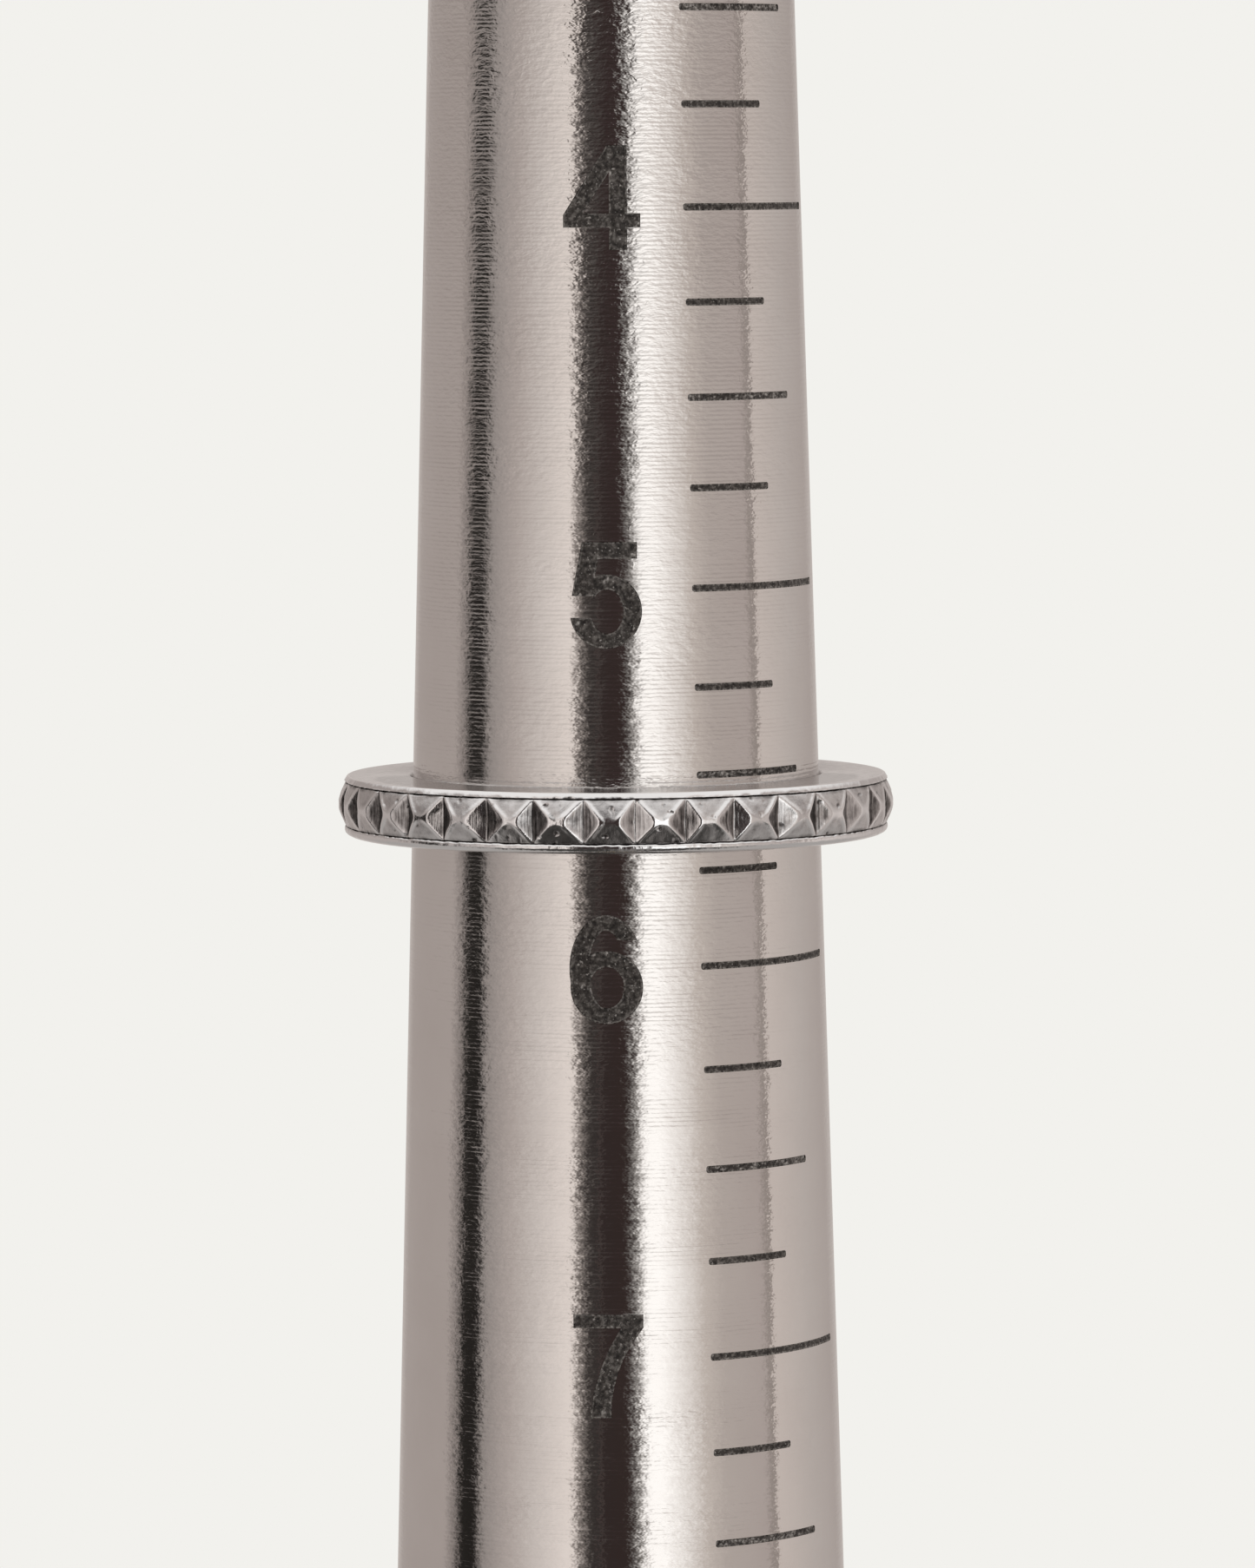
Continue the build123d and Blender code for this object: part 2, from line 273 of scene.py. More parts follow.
def burnt_marking():
    """Laser-blackened engraving: crusty, nearly black, with brighter burrs along its edges."""
    material, nodes, shader, place = material_nodes("burnt_marking", Metallic=0.55)
    crust = nodes.noise(place, CRUST_GRAIN, 4.0, 0.65)
    flecks = nodes.noise(place, FLECK_GRAIN)
    tone = nodes.ramp(crust, [
        (0.34, (0.022, 0.019, 0.018)), (0.52, (0.075, 0.067, 0.062)), (0.66, (0.20, 0.187, 0.176)),
    ])
    tone = nodes.mix(nodes.spread(flecks, 0.64, 0.74), tone, (0.5, 0.48, 0.46))
    burr = nodes.math("MULTIPLY", nodes.attribute("burr"), nodes.spread(flecks, 0.40, 0.60))
    tone = nodes.mix(burr, tone, (0.52, 0.50, 0.48))
    nodes.link(tone, shader.inputs["Base Color"])
    nodes.link(nodes.spread(crust, 0.3, 0.7, 0.62, 0.38), shader.inputs["Roughness"])
    nodes.link(nodes.bump(crust, CRUST_BUMP_HEIGHT), shader.inputs["Normal"])
    return material


SILVER_PATCH_GRAIN = 2600.0
SILVER_GRIT_GRAIN = 9000.0
SILVER_FILING_GRAIN = (11000.0, 11000.0, 420.0)
SILVER_GRIT_HEIGHT = 7.0e-6
SILVER_FILING_HEIGHT = 9.0e-6


def worn_silver():
    """Silver with polished edges, dark oxide left in the recesses, and painted shade on notch flanks that
    face sideways.
    """
    material, nodes, shader, place = material_nodes("worn_silver", Metallic=1.0)
    oxide_and_shade = nodes.attribute("oxide_and_shade")
    polish = nodes.attribute("polish")
    filed = nodes.attribute("filed")
    patches = nodes.noise(place, SILVER_PATCH_GRAIN, 4.0, 0.62)
    grit = nodes.noise(place, SILVER_GRIT_GRAIN, 3.0, 0.6)
    streaks = nodes.grain(place, SILVER_FILING_GRAIN, roughness=0.6)
    # Darkening from the ring's first attribute and random patches: oxide in the hollows plus painted shade
    # on notch flanks that face sideways.
    stain_and_shade = nodes.math("ADD", oxide_and_shade, nodes.math("MULTIPLY", nodes.math("SUBTRACT", patches, 0.5), 0.7))
    streak_stain = nodes.math("MULTIPLY", nodes.math("SUBTRACT", streaks, 0.5), 1.1)
    stain_and_shade = nodes.math("ADD", stain_and_shade, nodes.math("MULTIPLY", streak_stain, filed))
    stain_and_shade = nodes.math("SUBTRACT", stain_and_shade, nodes.math("MULTIPLY", polish, 0.7), clamp=True)
    tone = nodes.ramp(stain_and_shade, [
        (0.0, (0.87, 0.863, 0.869)), (0.35, (0.63, 0.616, 0.617)),
        (0.7, (0.22, 0.209, 0.206)), (1.0, (0.05, 0.046, 0.045)),
    ])
    nodes.link(tone, shader.inputs["Base Color"])
    rough = nodes.math("ADD", nodes.math("MULTIPLY", stain_and_shade, 0.15), 0.13)
    rough = nodes.math("SUBTRACT", rough, nodes.math("MULTIPLY", polish, 0.10))
    nodes.link(rough, shader.inputs["Roughness"])
    uneven = nodes.math("SUBTRACT", 1.0, nodes.math("MULTIPLY", nodes.attribute("mirror"), 0.96))
    normal = nodes.bump(nodes.math("MULTIPLY", grit, uneven), SILVER_GRIT_HEIGHT)
    normal = nodes.bump(nodes.math("MULTIPLY", streaks, filed), SILVER_FILING_HEIGHT, normal)
    nodes.link(normal, shader.inputs["Normal"])
    return material


BRASS_LINE_GRAIN = (300.0, 300.0, 9000.0)
BRASS_LINE_HEIGHT = 1.2e-5
PIN_GAP_INNER = 0.03 * MM
PIN_GAP_OUTER = 0.20 * MM


def satin_brass():
    """Turned brass with fine lines and a little tarnish."""
    material, nodes, shader, place = material_nodes(
        "satin_brass", Metallic=1.0, Anisotropic=0.6, Anisotropic_Rotation=0.25
    )
    tangent = nodes.new("ShaderNodeTangent", direction_type="RADIAL", axis="Z")
    nodes.link(tangent.outputs["Tangent"], shader.inputs["Tangent"])
    tarnish = nodes.noise(place, 180.0, 5.0, 0.6)
    tone = nodes.ramp(tarnish, [
        (0.3, (0.50, 0.34, 0.15)), (0.55, (0.74, 0.55, 0.27)), (0.75, (0.82, 0.64, 0.34)),
    ])
    # Painted shade in the fine gap round the ends of the cross pin.
    split = nodes.new("ShaderNodeSeparateXYZ")
    nodes.link(place, split.inputs["Vector"])
    up = nodes.math("SUBTRACT", split.outputs["Z"], PIN_Z)
    across = nodes.math("MULTIPLY", split.outputs["Y"], split.outputs["Y"])
    from_pin = nodes.math("SQRT", nodes.math("ADD", nodes.math("MULTIPLY", up, up), across))
    gap = nodes.spread(from_pin, PIN_RADIUS + PIN_GAP_INNER, PIN_RADIUS + PIN_GAP_OUTER, 1.0, 0.0)
    tone = nodes.mix(gap, tone, (0.09, 0.06, 0.035))
    nodes.link(tone, shader.inputs["Base Color"])
    nodes.link(nodes.spread(tarnish, 0.3, 0.7, 0.42, 0.28), shader.inputs["Roughness"])
    lines = nodes.grain(place, BRASS_LINE_GRAIN, 3.0, 0.6)
    nodes.link(nodes.bump(lines, BRASS_LINE_HEIGHT), shader.inputs["Normal"])
    return material


PIN_FILING_GRAIN = (1000.0, 1500.0, 12000.0)
PIN_FILING_HEIGHT = 2.0e-5


def filed_steel():
    """Small steel pin end, filed across."""
    material, nodes, shader, place = material_nodes("filed_steel", Metallic=1.0)
    marks = nodes.grain(place, PIN_FILING_GRAIN, 3.0, 0.6)
    tone = nodes.ramp(marks, [(0.3, (0.36, 0.35, 0.34)), (0.7, (0.66, 0.65, 0.63))])
    nodes.link(tone, shader.inputs["Base Color"])
    nodes.link(nodes.spread(marks, 0.3, 0.7, 0.5, 0.3), shader.inputs["Roughness"])
    nodes.link(nodes.bump(marks, PIN_FILING_HEIGHT), shader.inputs["Normal"])
    return material


WOOD_BEND_GRAIN = (30.0, 30.0, 9.0)
WOOD_FIBRE_GRAIN = (1500.0, 1500.0, 60.0)
WOOD_PORE_GRAIN = (2600.0, 2600.0, 160.0)
WOOD_RINGS = 520.0               # turns of the ring pattern's angle per metre
WOOD_FIBRE_HEIGHT = 2.0e-5
WOOD_PORE_HEIGHT = 3.0e-5


def oiled_wood():
    """Turned hardwood: long grain along the axis, pores, and darker grooves."""
    material, nodes, shader, place = material_nodes("oiled_wood", Coat_Weight=0.25, Coat_Roughness=0.25)
    bend = nodes.grain(place, WOOD_BEND_GRAIN)
    split = nodes.new("ShaderNodeSeparateXYZ")
    nodes.link(place, split.inputs["Vector"])
    across = nodes.math("ADD", split.outputs["X"], nodes.math("MULTIPLY", split.outputs["Y"], 0.45))
    rings = nodes.math("MULTIPLY", across, WOOD_RINGS)
    rings = nodes.math("ADD", rings, nodes.math("MULTIPLY", bend, 11.0))
    rings = nodes.spread(nodes.math("SINE", rings), -1.0, 1.0)
    fibre = nodes.grain(place, WOOD_FIBRE_GRAIN, 5.0, 0.65)
    pores = nodes.grain(place, WOOD_PORE_GRAIN)
    tone = nodes.ramp(rings, [
        (0.0, (0.30, 0.135, 0.06)), (0.6, (0.40, 0.20, 0.092)), (1.0, (0.235, 0.10, 0.045)),
    ])
    tone = nodes.mix(nodes.spread(fibre, 0.35, 0.7), tone, (0.46, 0.25, 0.125))
    tone = nodes.mix(nodes.spread(pores, 0.60, 0.70, 0.0, 0.8), tone, (0.07, 0.03, 0.015))
    groove = nodes.attribute("groove")
    tone = nodes.mix(nodes.math("MULTIPLY", groove, 0.8), tone, (0.05, 0.022, 0.012))
    nodes.link(tone, shader.inputs["Base Color"])
    nodes.link(nodes.spread(fibre, 0.3, 0.7, 0.46, 0.34), shader.inputs["Roughness"])
    normal = nodes.bump(fibre, WOOD_FIBRE_HEIGHT)
    normal = nodes.bump(nodes.spread(pores, 0.60, 0.70, 1.0, 0.0), WOOD_PORE_HEIGHT, normal)
    nodes.link(normal, shader.inputs["Normal"])
    return material


def plain_floor():
    """Matte pale paper."""
    material, nodes, shader, place = material_nodes("plain_floor", Roughness=0.9)
    fibre = nodes.noise(place, 900.0, 3.0)
    tone = nodes.ramp(fibre, [(0.3, (0.86, 0.855, 0.83)), (0.7, (0.88, 0.875, 0.85))])
    nodes.link(tone, shader.inputs["Base Color"])
    return material


# ---- Mesh helpers ----
def add_piece(name, mesh, material, body, slot, *nodes):
    """Object on a body, with its material, that stands for the CAD nodes named."""
    piece = bpy.data.objects.new(name, mesh)
    bpy.context.scene.collection.objects.link(piece)
    mesh.materials.clear()
    mesh.materials.append(material)
    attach(piece, body)
    if nodes:
        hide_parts(*nodes)
    return piece


def grid_mesh(name, rows, closed=True):
    """Mesh from rows of points round the axis. Closed rows also join the last row to the first."""
    rows = np.asarray(rows)
    count, columns = rows.shape[:2]
    index = np.arange(count * columns).reshape(count, columns)
    steps = count if closed else count - 1
    low = index[:steps]
    high = np.roll(index, -1, axis=0)[:steps]
    faces = np.stack([low, np.roll(low, -1, axis=1), np.roll(high, -1, axis=1), high], axis=-1)
    mesh = bpy.data.meshes.new(name)
    mesh.from_pydata(rows.reshape(-1, 3).tolist(), [], faces.reshape(-1, 4).tolist())
    return mesh


def lathe_rows(profile, columns):
    """Rows of points from (radius, height) pairs turned about Z."""
    angles = np.arange(columns) * 2 * math.pi / columns
    circle = np.stack([np.sin(angles), -np.cos(angles)], axis=-1)
    return [np.column_stack([circle * r, np.full(columns, z)]) for r, z in profile]


def lathe(name, profile, columns, sharp_degrees=35.0):
    """Turned solid. A profile that starts and ends on the axis gets its two ends closed to a point."""
    on_axis = [profile[0][0] == 0, profile[-1][0] == 0]
    inner = profile[on_axis[0]:len(profile) - on_axis[1]]
    mesh = grid_mesh(name, lathe_rows(inner, columns), closed=not any(on_axis))
    build = bmesh.new()
    build.from_mesh(mesh)
    points = list(build.verts)
    if on_axis[0]:
        centre = build.verts.new((0, 0, profile[0][1]))
        for i in range(columns):
            build.faces.new((centre, points[(i + 1) % columns], points[i]))
    if on_axis[1]:
        centre = build.verts.new((0, 0, profile[-1][1]))
        last = points[-columns:]
        for i in range(columns):
            build.faces.new((centre, last[i], last[(i + 1) % columns]))
    bmesh.ops.recalc_face_normals(build, faces=build.faces)
    build.to_mesh(mesh)
    build.free()
    mesh.shade_smooth()
    mesh.set_sharp_from_angle(angle=math.radians(sharp_degrees))
    return mesh


SAME_POINT = 0.0005 * MM


def merged(*meshes):
    """One bmesh of some meshes, with the doubled points joined."""
    build = bmesh.new()
    for mesh in meshes:
        build.from_mesh(mesh)
    bmesh.ops.remove_doubles(build, verts=build.verts, dist=SAME_POINT)
    return build


def arc_points(centre, radius, start, end, count):
    """Points on an arc in (radius, height), from one angle in degrees to another."""
    angles = [math.radians(start + (end - start) * i / count) for i in range(count + 1)]
    return [(centre[0] + radius * math.cos(a), centre[1] + radius * math.sin(a)) for a in angles]


# ---- Blade ----
BLADE_COLUMNS = 240
BLADE_STEPS = 14
TIP_ROUND = 0.9 * MM
CENTRE_MOUTH = 1.6 * MM
CENTRE_PILOT = 0.65 * MM
CENTRE_DEPTH = 5.0 * MM
CENTRE_HALF_ANGLE = math.radians(30)
TANG_RADIUS = 6.0 * MM
TANG_CHAMFER = 1.2 * MM
SHOULDER_ROUND = 0.35 * MM
SHOULDER_BREAK = 0.1 * MM
CONE_TOLERANCE = 0.02 * MM
MARK_NODES = ("size_numerals", "whole_size_lines", "half_size_lines", "quarter_size_lines")
POCKET_DEPTH = 0.10 * MM
MARK_SINK = 0.04 * MM


def mark_cutter():
    """All the marks as one closed mesh in millimetres, with their tops pushed out of the blade."""
    total = bpy.data.meshes.new("cutter")
    build = merged(*(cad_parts[node].data for node in MARK_NODES))
    for vert in build.verts:
        radius = math.hypot(vert.co.x, vert.co.y)
        if radius > blade_radius(vert.co.z) - (POCKET_DEPTH + MARK_SINK) / 2:
            push = (radius + 3 * MARK_SINK) / radius
            vert.co.x *= push
            vert.co.y *= push
    bmesh.ops.recalc_face_normals(build, faces=build.faces)
    bmesh.ops.scale(build, vec=(1 / MM,) * 3, verts=build.verts)
    build.to_mesh(total)
    build.free()
    return total


def cut_pockets(mesh, cutter):
    """Mesh with the cutter taken away. Both are worked in millimetres."""
    mesh.transform(Matrix.Scale(1 / MM, 4))
    body = bpy.data.objects.new("body", mesh)
    tool = bpy.data.objects.new("tool", cutter)
    for thing in (body, tool):
        bpy.context.scene.collection.objects.link(thing)
    modifier = body.modifiers.new("pockets", "BOOLEAN")
    modifier.operation = "DIFFERENCE"
    modifier.solver = "EXACT"
    modifier.object = tool
    bpy.context.view_layer.update()
    result = bpy.data.meshes.new_from_object(body.evaluated_get(bpy.context.evaluated_depsgraph_get()))
    bpy.data.objects.remove(body)
    bpy.data.objects.remove(tool)
    result.transform(Matrix.Scale(MM, 4))
    return result


def shade_as_cone(mesh):
    """True cone normals on the blade's outside, flat ones in the pockets and on the ends."""
    slope = BORE_PER_SIZE / size_pitch / 2
    normals = []
    for polygon in mesh.polygons:
        centre = polygon.center
        radius = math.hypot(centre.x, centre.y)
        outward = 0.0
        if radius > 0:
            outward = (polygon.normal.x * centre.x + polygon.normal.y * centre.y) / radius
        near_cone = abs(radius - blade_radius(centre.z)) < CONE_TOLERANCE
        below_scale = blade_low.z < centre.z < last_size_z
        for loop in polygon.loop_indices:
            point = mesh.vertices[mesh.loops[loop].vertex_index].co
            if near_cone and outward > 0.99:
                rise = slope * math.hypot(point.x, point.y)
                normals.append(Vector((point.x, point.y, rise)).normalized())
            elif below_scale and outward > 0.99:
                normals.append(Vector((point.x, point.y, 0)).normalized())
            else:
                normals.append(polygon.normal.copy())
    mesh.shade_smooth()
    mesh.normals_split_custom_set(normals)


def make_blade(material):
    tip_z = blade_high.z
    shoulder_z = ferrule_high.z
    shoulder = blade_radius(shoulder_z)
    cone_depth = (CENTRE_MOUTH - CENTRE_PILOT) / math.tan(CENTRE_HALF_ANGLE)
    bottom = shoulder_z + SHOULDER_ROUND
    top = tip_z - TIP_ROUND
    profile = [
        (0, blade_low.z), (TANG_RADIUS - TANG_CHAMFER, blade_low.z),
        (TANG_RADIUS, blade_low.z + TANG_CHAMFER), (TANG_RADIUS, shoulder_z),
        (shoulder - SHOULDER_ROUND, shoulder_z),
        (shoulder - SHOULDER_BREAK, shoulder_z + SHOULDER_BREAK),
        (blade_radius(bottom), bottom),
    ]
    for i in range(1, BLADE_STEPS + 1):
        z = bottom + (top - bottom) * i / BLADE_STEPS
        profile.append((blade_radius(z), z))
    profile += arc_points((blade_radius(top) - TIP_ROUND, top), TIP_ROUND, 0, 90, 6)[1:]
    profile += [
        (CENTRE_MOUTH, tip_z), (CENTRE_PILOT, tip_z - cone_depth),
        (CENTRE_PILOT, tip_z - CENTRE_DEPTH), (0, tip_z - CENTRE_DEPTH),
    ]
    mesh = cut_pockets(lathe("steel_blade", profile, BLADE_COLUMNS), mark_cutter())
    shade_as_cone(mesh)
    mesh.name = "steel_blade"
    return add_piece("steel_blade", mesh, material, "mandrel", "blade_steel", "blade")


# ---- Marks ----
CRUST_EDGE = 0.13 * MM
CRUST_SPLITS = 5
CRUST_HEIGHT = 0.016 * MM
CRUST_COARSE = 6500.0
CRUST_FINE = 14000.0
BURR_WIDTH = 0.07 * MM


def make_marks(material):
    """The engraving's dark floors, broken into small faces and roughened."""
    for node in MARK_NODES:
        build = merged(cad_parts[node].data)
        for _ in range(CRUST_SPLITS):
            long_edges = [edge for edge in build.edges if edge.calc_length() > CRUST_EDGE]
            bmesh.ops.subdivide_edges(build, edges=long_edges, cuts=1)
            bmesh.ops.triangulate(build, faces=build.faces)
        build.verts.ensure_lookup_table()
        top = []
        walls = []
        for vert in build.verts:
            depth = blade_radius(vert.co.z) - math.hypot(vert.co.x, vert.co.y)
            outward = Vector((vert.co.x, vert.co.y, 0)).normalized()
            on_wall = any(abs(face.normal.dot(outward)) < 0.6 for face in vert.link_faces)
            if depth < (POCKET_DEPTH + MARK_SINK) / 2:
                top.append(vert)
                if on_wall:
                    walls.append(vert.co.copy())
        tree = KDTree(len(walls))
        for number, spot in enumerate(walls):
            tree.insert(spot, number)
        tree.balance()
        burr = [0.0] * len(build.verts)
        for vert in top:
            burr[vert.index] = max(1.0 - tree.find(vert.co)[2] / BURR_WIDTH, 0.0)
            radius = math.hypot(vert.co.x, vert.co.y)
            lift = noise.noise(vert.co * CRUST_COARSE) + 0.5 * noise.noise(vert.co * CRUST_FINE)
            push = (radius + CRUST_HEIGHT * lift) / radius
            vert.co.x *= push
            vert.co.y *= push
        bmesh.ops.recalc_face_normals(build, faces=build.faces)
        mesh = bpy.data.meshes.new("burnt_" + node)
        build.to_mesh(mesh)
        build.free()
        mesh.attributes.new("burr", "FLOAT", "POINT").data.foreach_set("value", burr)
        mesh.shade_smooth()
        mesh.set_sharp_from_angle(angle=math.radians(50))
        add_piece("burnt_" + node, mesh, material, "mandrel", "engraving", node)


# ---- Ring ----
NOTCH_COUNT = 34
NOTCH_START = math.radians(3.9)
NOTCH_CELLS = 40
RIDGE_CELLS = 44
TOP_RIM = 0.26 * MM
BOTTOM_RIM = 0.42 * MM
BORE_RADIUS = 8.165 * MM
RIM_RADIUS = 10.78 * MM
FOOT_RADIUS = 10.30 * MM
FOOT_BEVEL = 0.25 * MM
FOOT_STEPS = 5
CREST_RADIUS = 11.02 * MM
CREASE_RADIUS = 10.74 * MM
NOTCH_RADIUS = 10.70 * MM
NOTCH_HALF = 0.66 * MM
NOTCH_SHIFT = 0.05 * MM
NOTCH_FLOOR = 0.02 * MM
LIP_HEIGHT = 0.05 * MM
LIP_WIDTH = 0.055 * MM
EDGE_WIDTH = 0.13 * MM
HOLLOW_DEPTH = 0.09 * MM
HOLLOW_REACH = 0.12 * MM
PIT_DEPTH = 0.22 * MM
FLANK_TILT = math.radians(24)
FLANK_ROUGH = 0.014 * MM
BORE_CHAMFER = 0.06 * MM
CREASE_START = 0.82              # share of the ridge's half height
# Grains of the ring's dents and pits, in cycles per metre.
RIM_DENTS = 2600.0
RIM_FINE_DENTS = 6000.0
RIDGE_DENTS = 1500.0
RIDGE_FINE_DENTS = 4000.0
FLANK_DENTS = 2300.0
PITS = 3300.0
PIT_OFFSET = Vector((9, 3, 5))


def soft_min(a, b, width):
    """Smaller of two numbers, with the corner between them rounded over a width."""
    blend = max(width - abs(a - b), 0.0) / width
    return min(a, b) - blend * blend * width / 4


def make_ring(material):
    """Ridged band with V notches filed across it, worn bright on every edge."""
    low = ring_low.z
    high = ring_high.z
    ridge_low = low + BOTTOM_RIM
    ridge_high = high - TOP_RIM
    columns = NOTCH_COUNT * NOTCH_CELLS
    pitch = 2 * math.pi / NOTCH_COUNT
    notches = []
    for _ in range(NOTCH_COUNT):
        notches.append({
            "shift": rng.uniform(-1.0, 1.0) * NOTCH_SHIFT, "left": rng.uniform(0.90, 1.32),
            "right": rng.uniform(0.90, 1.32), "dark": rng.uniform(-0.15, 0.15),
            "lip": rng.uniform(0.3, 1.0) * LIP_HEIGHT, "wear": rng.uniform(0.0, 1.0),
        })
    points = []
    tones = []

    def add_row(radius, z, oxide_and_shade, polish, rough=0.0, mirror=0.0):
        """Plain row round the ring, with dents up to a height and the same tones all round."""
        row = []
        for column in range(columns):
            angle = NOTCH_START + column / columns * 2 * math.pi
            spot = Vector((math.sin(angle), -math.cos(angle), 0)) * radius + Vector((0, 0, z))
            dent = noise.noise(spot * RIM_DENTS) + 0.6 * noise.noise(spot * RIM_FINE_DENTS)
            r = radius + rough * dent
            row.append((math.sin(angle) * r, -math.cos(angle) * r, z + 0.4 * rough * dent))
            tones.append((oxide_and_shade + 0.4 * max(-dent, 0) * (rough > 0), polish, 0.0, mirror))
        points.append(row)

    def add_ridge_row(t, z):
        """Row of the notched ridge, with t from -1 at its lower edge to 1 at its upper edge."""
        row = []
        for column in range(columns):
            angle = NOTCH_START + column / columns * 2 * math.pi
            number = round(column / NOTCH_CELLS) % NOTCH_COUNT
            notch = notches[number]
            turn = (column / NOTCH_CELLS - round(column / NOTCH_CELLS)) * pitch
            across = turn * CREST_RADIUS - notch["shift"] * (1 - abs(t))
            side = notch["left"] if across < 0 else notch["right"]
            narrowing = (math.sqrt(t * t + 0.02) - 0.14) / 0.87
            half = NOTCH_HALF * side * (1 - narrowing) + NOTCH_FLOOR
            spot = Vector((math.sin(angle) * CREST_RADIUS, -math.cos(angle) * CREST_RADIUS, z))
            dent = noise.noise(spot * RIDGE_DENTS)
            grain = noise.noise(spot * RIDGE_FINE_DENTS)
            ridge = CREST_RADIUS - (CREST_RADIUS - CREASE_RADIUS) * abs(t) ** 1.7
            depth = ridge - NOTCH_RADIUS - 0.9 * (CREASE_RADIUS - NOTCH_RADIUS) * t * t
            ridge += (0.016 * dent + 0.008 * grain) * MM
            pit = max(noise.noise(spot * PITS + PIT_OFFSET) - 0.5, 0.0)
            ridge -= pit * PIT_DEPTH
            # Height over the V of the nearest notch: negative inside it.
            gap = depth * (abs(across) / half - 1)
            hollow = min(max(gap / HOLLOW_REACH, 0.0), 1.0) * abs(t) * (1 - abs(t))
            ridge -= HOLLOW_DEPTH * hollow
            lip = notch["lip"] * math.exp(-(gap / LIP_WIDTH) ** 2)
            rounding = (0.03 + 0.06 * notch["wear"]) * MM
            radius = soft_min(ridge, ridge + gap, rounding) + lip * (1 - abs(t))
            radius = min(radius, CREST_RADIUS)
            inside = min(max(-gap / (0.05 * MM), 0.0), 1.0)
            radius += FLANK_ROUGH * noise.noise(spot * FLANK_DENTS) * inside
            edge = max(1.0 - abs(gap - 0.02 * MM) / EDGE_WIDTH, 0.0)
            crest = max(1.0 - abs(t) / 0.3, 0.0) * (1 - inside)
            crease = max((abs(t) - CREASE_START) / (1 - CREASE_START), 0.0) * (0.6 + 0.8 * dent)
            valley = max(1.0 - abs(across) / half, 0.0)
            # Painted shade: flanks that face sideways, rather than to the ring's front and back, get a
            # darker tone from the way they face.
            facing = NOTCH_START + number * pitch + math.copysign(FLANK_TILT, -across)
            side_on_shade = min(max((abs(math.sin(facing)) - 0.5) / 0.4, 0.0), 1.0)
            oxide_and_shade = (0.47 + 0.42 * side_on_shade + 0.12 * valley + notch["dark"]) * inside
            oxide_and_shade += 0.20 * (1 - inside) + 0.6 * (crease + hollow) + 2.0 * pit
            polish = max(edge * (0.7 + 0.3 * notch["wear"]), 0.6 * crest)
            tones.append((oxide_and_shade, polish, inside, 0.0))
            row.append((math.sin(angle) * radius, -math.cos(angle) * radius, z))
        points.append(row)

    # Rows from the lower edge of the bore, round the outside and back down the bore.
    add_row(BORE_RADIUS + BORE_CHAMFER, low, 0.1, 0.7)
    add_row(FOOT_RADIUS - 0.10 * MM, low, 0.1, 0.6)
    for step in range(FOOT_STEPS + 1):
        turn = math.radians(90 * step / FOOT_STEPS)
        out = FOOT_RADIUS + (RIM_RADIUS - FOOT_RADIUS) * math.sin(turn)
        add_row(out, low + FOOT_BEVEL * (1 - math.cos(turn)), 0.12, 0.75, 0.018 * MM * (step > 0))
    add_row(RIM_RADIUS, ridge_low - 0.11 * MM, 0.05, 0.9, 0.014 * MM)
    add_row(RIM_RADIUS - 0.01 * MM, ridge_low - 0.05 * MM, 0.25, 0.7, 0.026 * MM)
    add_row(CREASE_RADIUS - 0.03 * MM, ridge_low - 0.01 * MM, 1.1, 0.0, 0.05 * MM)
    for step in range(1, RIDGE_CELLS):
        t = 2 * step / RIDGE_CELLS - 1
        add_ridge_row(t, ridge_low + (ridge_high - ridge_low) * (t + 1) / 2)
    add_row(CREASE_RADIUS - 0.03 * MM, ridge_high + 0.01 * MM, 1.1, 0.0, 0.045 * MM)
    add_row(RIM_RADIUS - 0.01 * MM, ridge_high + 0.05 * MM, 0.35, 0.6, 0.034 * MM)
    add_row(RIM_RADIUS - 0.02 * MM, ridge_high + 0.09 * MM, 0.0, 1.0, 0.016 * MM)
    add_row(RIM_RADIUS - 0.09 * MM, high - 0.03 * MM, 0.0, 1.0, 0.008 * MM)
    add_row(RIM_RADIUS - 0.14 * MM, high, 0.0, 0.9, 0.0, 1.0)
    add_row(RIM_RADIUS - 0.20 * MM, high, 0.75, 0.6, 0.0, 1.0)
    add_row(BORE_RADIUS + BORE_CHAMFER, high, 0.75, 0.6, 0.0, 1.0)
    add_row(BORE_RADIUS, high - BORE_CHAMFER, 0.6, 0.2)
    add_row(BORE_RADIUS, low + BORE_CHAMFER, 0.4, 0.4)
    mesh = grid_mesh("silver_ring", points)
    tones = np.array(tones, np.float32)
    for channel, name in enumerate(("oxide_and_shade", "polish", "filed", "mirror")):
        attribute = mesh.attributes.new(name, "FLOAT", "POINT")
        attribute.data.foreach_set("value", np.ascontiguousarray(tones[:, channel]))
    mesh.shade_smooth()
    mesh.set_sharp_from_angle(angle=math.radians(60))
    return add_piece("silver_ring", mesh, material, "ring", "ring_silver", "ring")


# ---- Handle, ferrule and pin ----
def outside_of(node, steps):
    """Outer (radius, height) profile of a turned CAD node, evened out to a number of steps."""
    found = {}
    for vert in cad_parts[node].data.vertices:
        level = round(vert.co.z, 6)
        found[level] = max(found.get(level, 0.0), math.hypot(vert.co.x, vert.co.y))
    levels = sorted(found)
    even = np.linspace(levels[0], levels[-1], steps)
    return list(zip(np.interp(even, levels, [found[z] for z in levels]).tolist(), even.tolist()))


FERRULE_BORE = ferrule_high.x - 1.6 * MM
TANG_BORE = 6.05 * MM
TANG_BORE_END = handle_low.z + 28.0 * MM
BUTT_RADIUS = 14.4 * MM
HANDLE_STEPS = 420
HANDLE_COLUMNS = 128
HANDLE_INSET = 0.01 * MM         # keeps the smoothed outside within the CAD box
GROOVES = (10.0 * MM, 13.0 * MM)
GROOVE_HALF = 0.7 * MM


